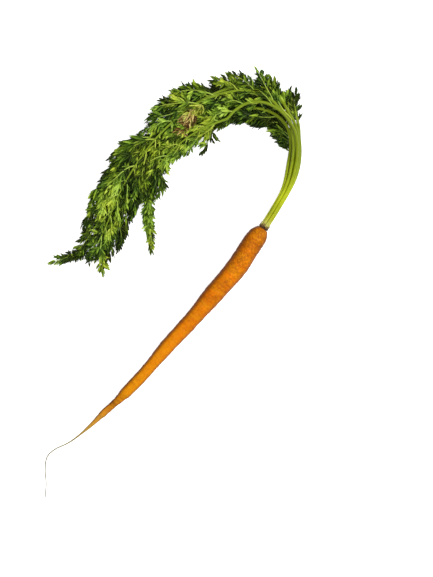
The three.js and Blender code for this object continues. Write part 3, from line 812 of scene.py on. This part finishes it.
LOOSE_BRANCHES = [  # leaf, distance, side, length, its two angles, how far it is bare, and dry
    (0, 106, 1, 26, (14, -4), 0.1, 0), (1, 101, 1, 28, (38, 8), 0.1, 0),
    (1, 69, -1, 9, (34, 50), 0.1, 0), (1, 72, -1, 12, (40, 56), 0.1, 0),
    (1, 75, -1, 15, (44, 58), 0.1, 0), (1, 78, -1, 18, (46, 58), 0.1, 0),
    (1, 81, -1, 21, (50, 58), 0.1, 0), (2, 103, 1, 12, (20, 30), 0.1, 0),
    (2, 97, 1, 18, (8, 0), 0.1, 0), (2, 90, -1, 15, (14, 4), 0.2, 0),
    (2, 95, -1, 15, (16, 4), 0.1, 0), (5, 88, 1, 50, (-8, -33), 0.55, 0),
    (5, 104, 1, 30, (6, 0), 0.1, 0), (5, 112, 1, 17, (4, -6), 0.1, 0),
    (6, 117, 1, 32, (20, 12), 0.1, 0), (6, 121, -1, 18, (22, 5), 0.1, 0),
    (7, 116, 1, 20, (20, 8), 0.1, 0), (7, 126, -1, 18, (24, 8), 0.1, 0),
    (6, 198, -1, 33, (56, 50), 0.4, 0), (6, 206, -1, 28, (60, 52), 0.4, 0),
    (6, 236, -1, 40, (34, 30), 0.45, 0), (6, 318, -1, 32, (26, 28), 0.2, 0),
    (6, 158, -1, 39, (50, 54), 0.1, 0), (7, 174, -1, 25, (38, 44), 0.1, 0),
    (6, 219, -1, 52, (42, 38), 0.35, 0), (6, 178, -1, 36, (34, 24), 0.02, 1),
    (6, 184, -1, 30, (42, 22), 0.02, 1), (6, 174, -1, 40, (32, 25), 0.02, 1),
]
# Patches where the foliage is painted lighter or darker: mostly painted shade and painted light,
# partly the foliage's own tone.
SHADE_LIGHT_AND_TONE_PATCHES = [  # place, radius, and how much lighter the foliage is there
    (-72, 104, 9, -0.3), (-113, 51, 18, -0.34), (-101, 64, 8, -0.12), (-140, 42, 9, -0.25),
    (-150, 0, 15, -0.3), (2, 112, 9, -0.25), (16, 76, 9, -0.05), (-8, 90, 13, 0.2),
    (-27, 111, 9, -0.2), (-50, 125, 12, -0.12), (-28, 92, 11, 0.2), (-44, 93, 10, 0.12),
    (-120, 28, 12, 0.1), (-91, 80, 8, 0.06), (-88, 92, 9, -0.2), (-132, 55, 8, -0.2),
]


def lobes(rows):
    """Thin pointed blades, each folded along its rib. A row gives one blade's place and shape."""
    (x, y, z, heading, pitch, roll, length, half, bend, droop, fold, tone, dry) = rows.T
    flat = np.cos(pitch)
    ahead = np.stack([np.cos(heading) * flat, np.sin(heading) * flat, np.sin(pitch)], -1)
    level = np.stack([np.sin(heading), -np.cos(heading), 0 * heading], -1)
    upright = np.cross(level, ahead)
    right = level * np.cos(roll)[:, None] + upright * np.sin(roll)[:, None]
    up = upright * np.cos(roll)[:, None] - level * np.sin(roll)[:, None]
    u = LOBE_ALONG[None, :, None]
    size = length[:, None, None]
    line = np.stack([x, y, z], -1)[:, None] + ahead[:, None] * size * u
    line = line + right[:, None] * (bend[:, None, None] * size * u**2)
    line = line - up[:, None] * (droop[:, None, None] * size * u**2)
    wide = half[:, None] * LOBE_WIDTH
    thick = np.broadcast_to(LOBE_THICKNESS / 2 * (1 - LOBE_ALONG), wide.shape)
    edge_up = up[:, None] * (fold[:, None] * wide)[..., None]
    edge_out = right[:, None] * wide[..., None]
    mid = up[:, None] * thick[..., None]
    edges = line + edge_out + edge_up, line - edge_out + edge_up
    ring = np.stack([edges[0], line + mid, edges[1], line - mid], 2)
    count, steps = wide.shape
    body = ring[:, :-1].reshape(count, -1, 3)
    tip = line[:, -1:]
    points = np.concatenate([body, tip], 1)
    sunk = np.maximum(ABOVE_TABLE - points[..., 2].min(1), 0)
    points[..., 2] += sunk[:, None]  # a blade that would dip into the table lies on it
    each = points.shape[1]
    quads = ring_faces(steps - 1, 4)
    row = np.arange(4)
    end = (steps - 2) * 4
    ends = np.stack([end + row, np.full(4, each - 1), end + (row + 1) % 4], -1)
    start = np.arange(count)[:, None, None] * each
    faces = (quads + start).reshape(-1, 4).tolist()
    faces += (ends + start).reshape(-1, 3).tolist()
    faces += (row + start[:, 0]).tolist()
    on_rib = np.append(np.tile([0, 1, 0, 1], steps - 1), 0.4)
    # Each blade's tone is painted darker towards its foot: painted shade.
    at_foot = np.append(np.repeat(1 - LOBE_ALONG[:-1] * 1.6, 4), -0.2)
    values = {
        "tone": np.repeat(tone, each) - FOOT_SHADE * np.tile(at_foot, count),
        "rib": np.tile(on_rib, count),
        "wither": np.repeat(dry, each),
    }
    return points.reshape(-1, 3), faces, values


def resting_height(index, places):
    """Where a leaf's blades lie: the middle of the layer that it takes up."""
    thickness = np.maximum(layer_thickness(LEAVES[index], places), LAYER * 0.6)
    return layer_floor(index, places) + thickness / 2


def heap_top(places):
    """The height of the whole heap."""
    return layer_floor(len(LEAVES), places)


def towards(heading, goal, share):
    """A heading turned by a share of the way to another."""
    return heading + share * ((goal - heading + math.pi) % (2 * math.pi) - math.pi)


def tone_and_painted_patches(x, y):
    """How much lighter the foliage is painted at a place than on the whole: its own lighter and
    darker clusters, and listed patches that are mostly painted shade and painted light.
    """
    broad = math.sin(0.21 * x + 0.13 * y + 1.3) * math.sin(0.17 * y - 0.09 * x + 0.4)
    fine = math.sin(0.43 * x - 0.26 * y) * math.sin(0.37 * y + 0.21 * x + 2)
    lighter = 0.12 * broad + 0.1 * fine - 0.1
    for px, py, radius, shift in SHADE_LIGHT_AND_TONE_PATCHES:
        lighter += shift * math.exp(-(((x - px) ** 2 + (y - py) ** 2) / radius**2))
    return lighter


def walk(start, angle, step):
    """Places in plan, each one step on from the last at the angle that the last has."""
    return [
        start[axis] + np.concatenate([[0], np.cumsum(turned(angle[:-1]) * step)])
        for axis, turned in enumerate((np.cos, np.sin))
    ]


def twig(base, heading, end_height, reach, tone, dry, draw, grown):
    """One twig of a branch with its lobes in pairs and one at the end."""
    rib = 0.62 * reach
    share = np.linspace(0, 1, TWIG_STEPS)
    angle = heading + draw.uniform(-0.35, 0.35) * share
    x, y = walk(base, angle, rib / (TWIG_STEPS - 1))
    z = base[2] + (end_height - base[2]) * share + 0.03 * np.sin(share * math.pi) * reach
    path = np.stack([x, y, z], -1)
    grown["twigs"].append((path, tone, dry))
    pairs = int(np.clip(round(reach / 3.7), 1, 4))
    slope = math.atan2(end_height - base[2], rib)
    for k in range(pairs):
        v = (k + 0.7) / (pairs + 0.4)
        spot = [np.interp(v, share, path[:, a]) for a in range(3)]
        facing = np.interp(v, share, angle)
        length = max(5.6, reach * (0.7 - 0.25 * v))
        for hand in (1, -1):
            grow = length * draw.uniform(0.75, 1.25)
            opening = math.radians(25 - 10 * v) + draw.normal(0, 0.13)
            grown["lobes"].append(
                (
                    *spot, facing + hand * opening, slope + draw.normal(0.02, 0.2),
                    draw.normal(0, 0.6), grow, (0.38 + 0.085 * grow) * (1 - DRY_SLIM * dry),
                    hand * draw.uniform(-0.14, 0.26), draw.uniform(-0.08, 0.16),
                    draw.uniform(0.1, 0.8), tone + draw.normal(0, 0.15), dry,
                )
            )
    grow = max(5.5, 0.5 * reach) * draw.uniform(0.85, 1.2)
    grown["lobes"].append(
        (
            *path[-1], angle[-1] + draw.normal(0, 0.12), slope + draw.normal(0, 0.15),
            draw.normal(0, 0.4), grow, (0.38 + 0.09 * grow) * (1 - DRY_SLIM * dry),
            draw.normal(0, 0.12), draw.uniform(-0.02, 0.16), draw.uniform(0.1, 0.7),
            tone + draw.normal(0, 0.15), dry,
        )
    )


def branch(
    index, distance, side, length, draw, grown, angles=BRANCH_ANGLES, bare=0.06, dry=0
):
    """One side branch of a leaf, bending forwards to the stalk's own direction."""
    leaf = LEAVES[index]
    here, behind = stalk_in_plan(leaf, np.array([distance, distance - 2]))
    heading = math.atan2(*(here - behind)[::-1])
    hang = (HANG_INSIDE if side <= 0 else HANG_OUTSIDE) * smoothstep(-here[0], *HANG_OVER)
    hang = max(hang, HANG_LEAST) if side < 0 else hang
    hang *= 1 - smoothstep(distance, *HANG_ENDS)
    if angles is not BRANCH_ANGLES:  # a loose branch keeps its own way
        hang = 0.0
    flow = towards(heading, -math.pi / 2, hang)
    share = np.linspace(0, 1, BRANCH_STEPS)
    away = angles[0] + (angles[1] - angles[0]) * share
    sway = draw.normal(0, 0.07) + draw.normal(0, 0.12) * np.sin(share * math.pi * 2)
    drawn = share * (0.35 * (hang > 0) + 0.4 * hang)
    angle = towards(heading - side * np.radians(away), flow, drawn) + sway
    rib = 0.84 * length
    plan = np.stack(walk(here, angle, rib / (BRANCH_STEPS - 1)), -1)
    stalk_at, stalk_line = stalk_lines[index]
    from_stalk = np.interp(distance, stalk_at, stalk_line[:, 2])
    lift = draw.normal(0.3, 0.7) + 4 * dry
    rest = resting_height(index, plan) + 0.5 + lift * np.sin(share * math.pi)
    z = from_stalk + (rest - from_stalk) * smoothstep(share, 0, 0.3)
    path = np.concatenate([plan, z[:, None]], -1)
    # The heap is painted darker towards its left and lighter towards its right: painted shade and
    # painted light.
    side_light_and_shade = 0.07 * smoothstep(here[0], -50, -130) - 0.05
    thread = distance >= leaf["thread"]
    tone = leaf["shade"] - side_light_and_shade + 0.3 * thread + draw.normal(0, 0.11)
    grown["ribs"].append((path, length, tone, dry * smoothstep(share, 0, 0.5)))
    count = max(2, round(rib * (1 - bare) / (TWIG_SPACING + TWIG_THINNING * index)))
    for k in range(count):
        at = bare + (1 - bare) * (k + 0.6) / (count + 0.6)
        for hand in (1, -1):
            v = at + draw.normal(0, 0.12) / count
            base = np.array([np.interp(v, share, path[:, a]) for a in range(3)])
            facing = np.interp(v, share, angle)
            reach = 2.2 if thread else 3.5
            reach += TWIG_LENGTH * (length / BRANCH_LENGTH) * (0.95 - 0.45 * v)
            reach *= draw.uniform(0.8, 1.3) * (1 - 0.2 * dry)
            opening = math.radians(34 - 14 * v) * (1 - 0.25 * dry)
            out = facing + hand * (opening + draw.normal(0, 0.12))
            out = towards(out, flow, 0.3 * (hang > 0) + 0.35 * hang)
            end = base[:2] + np.array([math.cos(out), math.sin(out)]) * reach * 0.7
            offset = draw.normal(0.1, 0.9)
            end_height = resting_height(index, end[None])[0] + offset + 3.6 * dry
            # A twig is painted lighter the higher it lies and darker the more heap lies over it:
            # painted light and painted shade.
            shade = tone + tone_and_painted_patches(*base[:2]) + 0.08 * offset + draw.normal(0, 0.15)
            shade -= DEEPER * (heap_top(end[None])[0] - end_height)
            dried = dry * float(smoothstep(at, 0, 0.35))
            twig(base, out, end_height, reach, shade, dried, draw, grown)
    end = path[-1, :2] + np.array([math.cos(angle[-1]), math.sin(angle[-1])]) * 0.16 * length
    end_height = resting_height(index, end[None])[0] + draw.normal(0, 0.4)
    # The end twig is painted darker the more heap lies over it: painted shade.
    tone += tone_and_painted_patches(*end) - DEEPER * (heap_top(end[None])[0] - end_height)
    twig(path[-1], angle[-1], end_height, max(6.0, 0.24 * length), tone, dry, draw, grown)


leaf_material, tree, shader = new_material("leaflet_green", Specular_IOR_Level=0.04)
tone = attribute(tree, "tone")
rib = attribute(tree, "rib")
place = add_node(tree, "ShaderNodeTexCoord").outputs["Object"]
blotch, grain = add_mottle(tree, place, 260, 1500, 0.15)
shifted = work_out(tree, "MULTIPLY_ADD", blotch, 0.1, work_out(tree, "ADD", tone, 0.09))
shifted = work_out(tree, "MULTIPLY_ADD", rib, 0.16, shifted)
base = colours_along(
    tree,
    shifted,
    [
        (0.0, (0.003, 0.009, 0.0003)), (0.2, (0.014, 0.034, 0.0006)), (0.4, (0.062, 0.112, 0.002)),
        (0.6, (0.172, 0.244, 0.006)), (0.8, (0.330, 0.410, 0.020)), (1.0, (0.460, 0.530, 0.050)),
    ],
)
lit = rescaled(tree, tone, 0.0, 0.5, 0.16, 0.48)
ribbed = product(tree, work_out(tree, "POWER", rib, 2.0), lit)
colour = blend_colours(tree, ribbed, base, (0.38, 0.46, 0.09))
cool, _ = add_mottle(tree, place, 45, 700, 0.12)
bluer = blend_colours(tree, 1.0, colour, (0.62, 0.92, 1.5), "MULTIPLY")
colour = blend_colours(tree, product(tree, cool, 0.6), colour, bluer)
golden = work_out(tree, "MULTIPLY_ADD", work_out(tree, "SUBTRACT", tone, 0.28), 1.9, -0.05)
golden = work_out(tree, "MULTIPLY_ADD", rib, 0.3, golden)
dried = colours_along(
    tree,
    golden,
    [(0.05, (0.050, 0.022, 0.006)), (0.5, (0.29, 0.185, 0.050)), (0.9, (0.54, 0.41, 0.14))],
)
colour = blend_colours(tree, attribute(tree, "wither"), colour, dried)
finish_surface(tree, shader, colour, grain, 0.3, 0.3, bump=0.35, depth=0.12)


def rods(paths, radii, sides, tones, dried, rib):
    """Branches or twigs as rods, with the values that their colour follows."""
    points, faces = tubes(np.array(paths), radii, sides)
    facts = {
        "tone": np.repeat(tones, len(points) // len(tones)),
        "rib": np.full(len(points), rib),
        "wither": np.repeat(dried, len(points) // np.size(dried)),
    }
    return points, faces, facts


def merged(parts):
    """Several lots of points, faces and values as one."""
    points, faces, values = [], [], {}
    start = 0
    for some, theirs, facts in parts:
        points.append(some)
        faces += [[i + start for i in face] for face in theirs]
        for label, value in facts.items():
            values.setdefault(label, []).append(value)
        start += len(some)
    return np.vstack(points), faces, {k: np.concatenate(v) for k, v in values.items()}


for index, leaf in enumerate(LEAVES):
    draw = np.random.default_rng(301 + index)
    grown = {"ribs": [], "twigs": [], "lobes": []}
    leafy = leaf["reach"] - leaf["bare"]
    full = BRANCH_LENGTH * min(1, leafy / FULL_LEAF + 0.25)
    spacing = BRANCH_SPACING if leafy > SHORT_LEAF else BRANCH_SPACING / 3
    places = np.append(
        np.arange(leaf["bare"], min(leaf["thread"], leaf["reach"] - LEAF_END), spacing),
        np.arange(leaf["thread"], leaf["reach"] - LEAF_END, THREAD_SPACING),
    )
    for place in places:
        share = (place - leaf["bare"]) / leafy
        length = full * (0.85 + 0.15 * min(1, share * 4)) * (1 - leaf["slim"] * share**2)
        if place >= leaf["thread"]:
            length = THREAD_BRANCH
        for side in (1, -1):
            jitter = draw.random() - 0.5
            distance = place + (BRANCH_JITTER if place < leaf["thread"] else THREAD_JITTER) * jitter
            if side > 0 and distance < OUTSIDE_FROM and leafy > SHORT_LEAF:
                continue
            if side < 0 and distance < leaf.get("inside_from", 0):
                continue
            if side > 0 and distance < leaf.get("outside_from", 0):
                continue
            room = smooth_curve(OUTSIDE_SHARE if side > 0 else INSIDE_SHARE, distance)
            branch(index, distance, side, length * room * (1 + 0.3 * jitter), draw, grown)
    last = leaf.get("last", max(full * 0.5, 18))
    branch(index, leaf["reach"] - LAST_BRANCH, 0, last, draw, grown)
    for which, distance, side, length, angles, bare, dry in LOOSE_BRANCHES:
        if which == index:
            branch(index, distance, side, length, draw, grown, angles, bare, dry)

    paths, sizes, tones, dried = zip(*grown["ribs"])
    radii = (0.3 + 0.008 * np.array(sizes))[:, None] * np.linspace(1, 0.45, BRANCH_STEPS)
    ribs = rods(paths, radii, BRANCH_SIDES, np.array(tones) + 0.05, dried, 0.95)
    paths, tones, dried = zip(*grown["twigs"])
    radii = np.broadcast_to(np.linspace(*TWIG_RADII, TWIG_STEPS), (len(paths), TWIG_STEPS))
    twigs = rods(paths, radii, TWIG_SIDES, tones, dried, 0.8)
    points, faces, facts = merged([ribs, twigs, lobes(np.array(grown["lobes"]))])
    points[:, 2] = np.maximum(points[:, 2], ABOVE_TABLE)
    make_piece(
        f"leaflets_{index + 1}", points, faces, facts, leaf_material, f"leaf_{index + 1}",
        sharp=38,
    )

# ---- Table and light -------------------------------------------------------------------------
# A plain pale table that the carrot lies on. A broad soft light hangs over it, a smaller one
# stands to the upper right, and an even white surround fills the shadows.

TABLE_HALF = 4.0  # in metres, as are the lights' and the camera's places
floor_material, tree, shader = new_material("pale_table", Specular_IOR_Level=0.1)
place = add_node(tree, "ShaderNodeTexCoord").outputs["Object"]
blotch, grain = add_mottle(tree, place, 3, 60, 0.3)
colour = blend_colours(tree, blotch, (0.90, 0.90, 0.90), (0.915, 0.915, 0.91))
finish_surface(tree, shader, colour, grain, 0.1, 0.8)
seen = add_node(tree, "ShaderNodeLightPath").outputs["Is Camera Ray"]
feed(tree, shader.inputs["Emission Color"], (1, 1, 1))
feed(tree, shader.inputs["Emission Strength"], work_out(tree, "MULTIPLY_ADD", seen, 0.35, 0.2))
mesh = bpy.data.meshes.new("table")
corners = [(-1, -1), (1, -1), (1, 1), (-1, 1)]
mesh.from_pydata([(x * TABLE_HALF, y * TABLE_HALF, 0) for x, y in corners], [], [(0, 1, 2, 3)])
mesh.materials.append(floor_material)
add_object("table", mesh)

world = bpy.data.worlds.new("surround")
world.use_nodes = True
tree = world.node_tree
surround = tree.nodes["Background"]
seen = add_node(tree, "ShaderNodeLightPath").outputs["Is Camera Ray"]
feed(tree, surround.inputs["Color"], (1, 1, 1))
feed(tree, surround.inputs["Strength"], work_out(tree, "MULTIPLY_ADD", seen, 0.65, 0.3))
bpy.context.scene.world = world
world.cycles_visibility.glossy = False


def soft_light(name, place, aim, size, power, shines):
    lamp = bpy.data.lights.new(name, "AREA")
    lamp.shape = "DISK"
    lamp.size = size
    lamp.energy = power
    light = add_object(name, lamp)
    light.location = place
    away = np.array(place) - np.array(aim)
    light.visible_glossy = shines
    light.rotation_euler = (
        math.acos(away[2] / np.linalg.norm(away)), 0, math.atan2(away[1], away[0]) + math.pi / 2
    )


soft_light("ceiling", (0.15, 0.0, 1.7), (0.0, 0.0, 0.0), 1.8, 26, False)
soft_light("window", (1.1, 0.45, 1.3), (0.02, 0.0, 0.0), 0.45, 19, True)

# ---- Camera ----------------------------------------------------------------------------------
# The camera looks straight down on the table, and its lens takes in the whole carrot with plain
# table all round it.

CAMERA_HEIGHT = 1.21
FRAMED_AT = 0.01  # a height above the table, about halfway up the carrot
VIEW_HEIGHT = 0.490  # what the picture's long side takes in at that height
LOOKS_AT = np.array([-40.4, -52.3])  # from the crown, in millimetres
camera = bpy.data.cameras.new("camera")
camera.sensor_width = 36
camera.lens = camera.sensor_width * (CAMERA_HEIGHT - FRAMED_AT) / VIEW_HEIGHT
view = add_object("camera", camera)
view.location = (*(crown_place[:2] + LOOKS_AT * MM), CAMERA_HEIGHT)
bpy.context.scene.camera = view
bpy.context.scene.view_settings.view_transform = "Standard"
